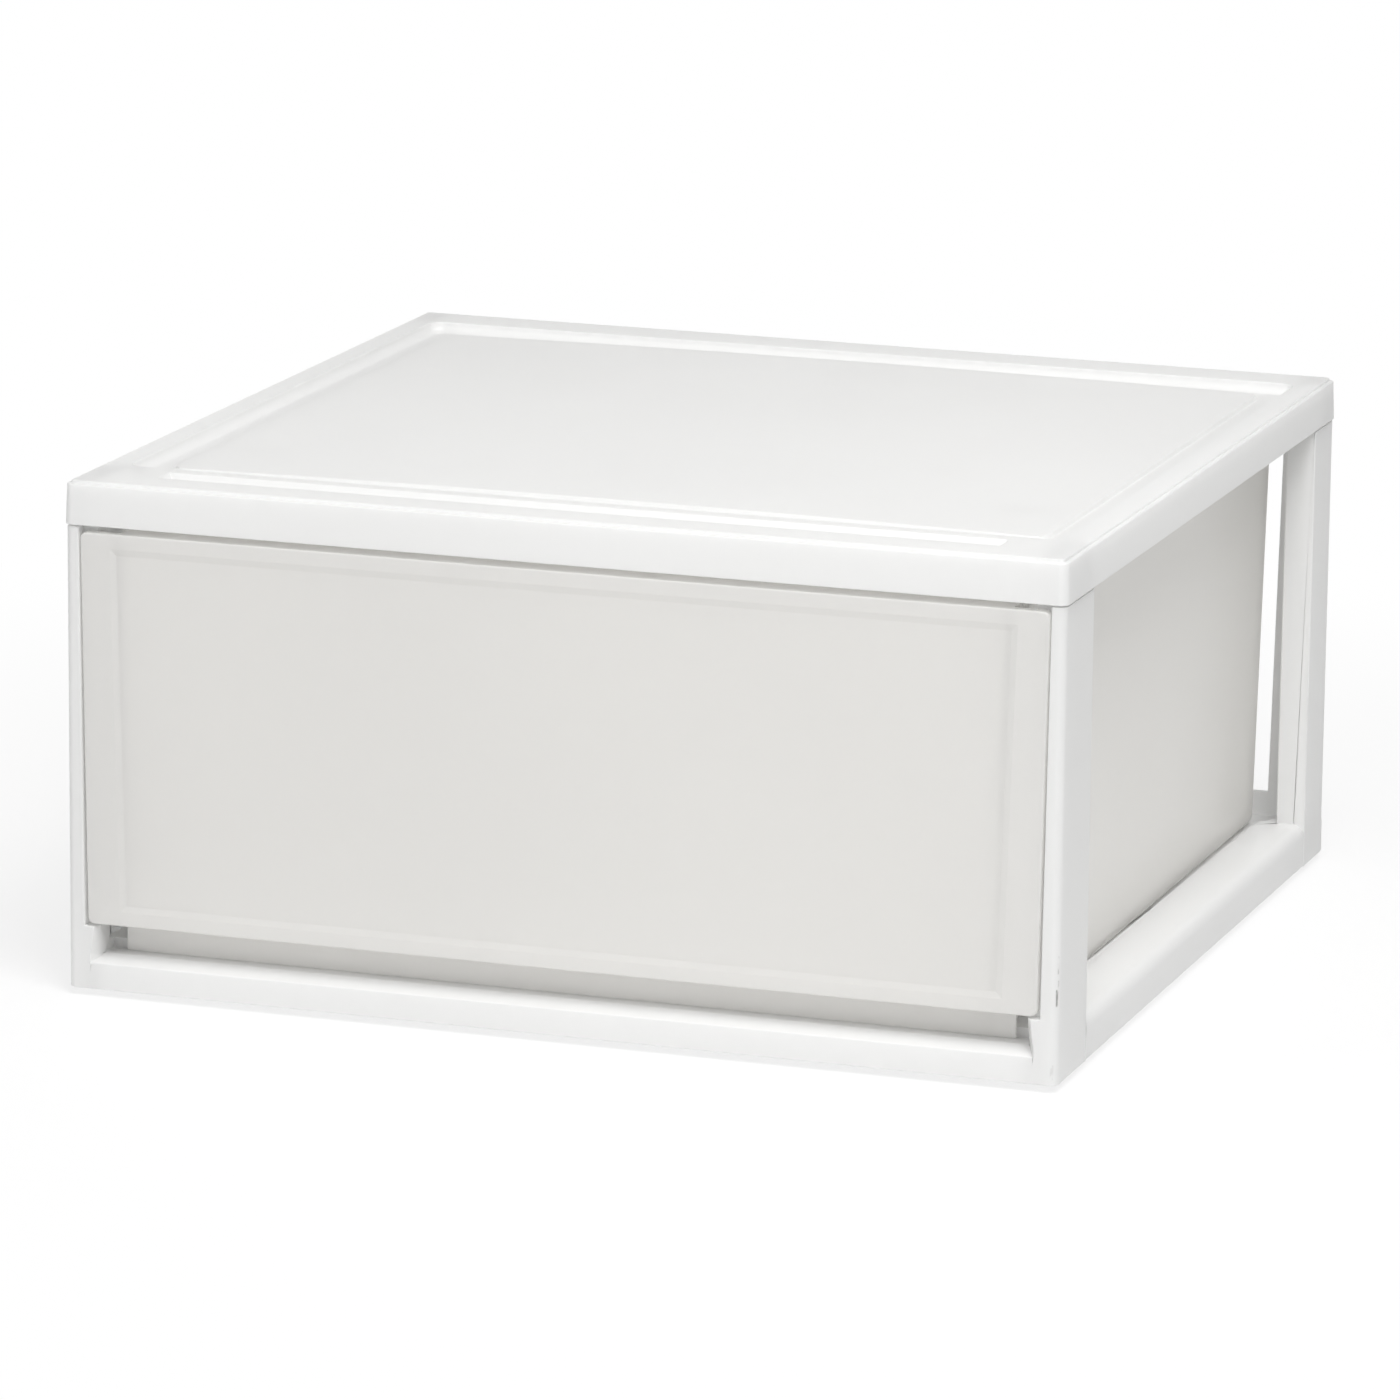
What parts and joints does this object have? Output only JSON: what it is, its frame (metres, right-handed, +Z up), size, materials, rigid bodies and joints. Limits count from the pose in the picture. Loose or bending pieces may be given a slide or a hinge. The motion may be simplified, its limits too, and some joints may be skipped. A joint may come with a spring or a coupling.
{
  "type": "stackable drawer box",
  "caption": "Low, wide stackable storage box: white open frame with corner posts and a recessed stacking lid, and a frosted drawer that slides forward.",
  "frame": {"origin": "centre of the footprint, on the surface the feet stand on", "axes": "+Z up, -Y toward the drawer front, +X to the right seen from the front"},
  "size_m": [0.4, 0.388, 0.203],
  "materials": {
    "white_plastic": "smooth moulded polypropylene, satin gloss",
    "frosted_plastic": "milky, slightly see-through moulded polypropylene"
  },
  "bodies": {
    "frame": {"body_frame": "white_plastic", "top_panel": "white_plastic"},
    "drawer": {"drawer": "frosted_plastic"}
  },
  "joints": [
    {"name": "drawer_slide", "type": "slide", "parent": "frame", "child": "drawer", "axis": [0, -1, 0], "range_m": [0, 0.278]}
  ]
}
